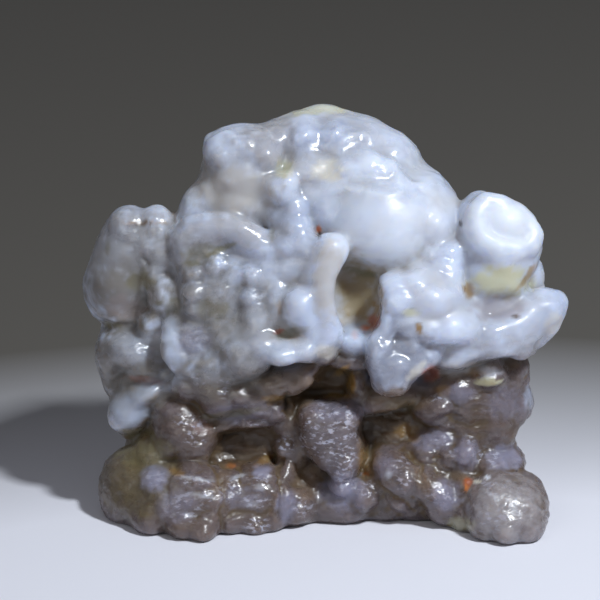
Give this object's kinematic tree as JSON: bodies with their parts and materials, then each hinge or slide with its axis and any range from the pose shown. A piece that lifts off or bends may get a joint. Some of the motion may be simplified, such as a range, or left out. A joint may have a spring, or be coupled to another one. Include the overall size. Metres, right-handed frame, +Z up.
{
  "type": "gobi agate",
  "caption": "Rough gobi agate: a milky, glossy, lobed cap overhanging a smoky brown, knobbly base, standing as a mineral display specimen",
  "frame": {"origin": "on the ground under the middle of the stone's bounding box", "axes": "+X along the longest side, to the right as seen from the front; -Y towards the viewer, the side with the feet; +Z up"},
  "size_m": [0.0688, 0.0436, 0.055],
  "materials": {
    "chalcedony": "glossy, wind-polished, slightly translucent"
  },
  "bodies": {
    "root": {"gobi_agate": "chalcedony"}
  },
  "joints": []
}
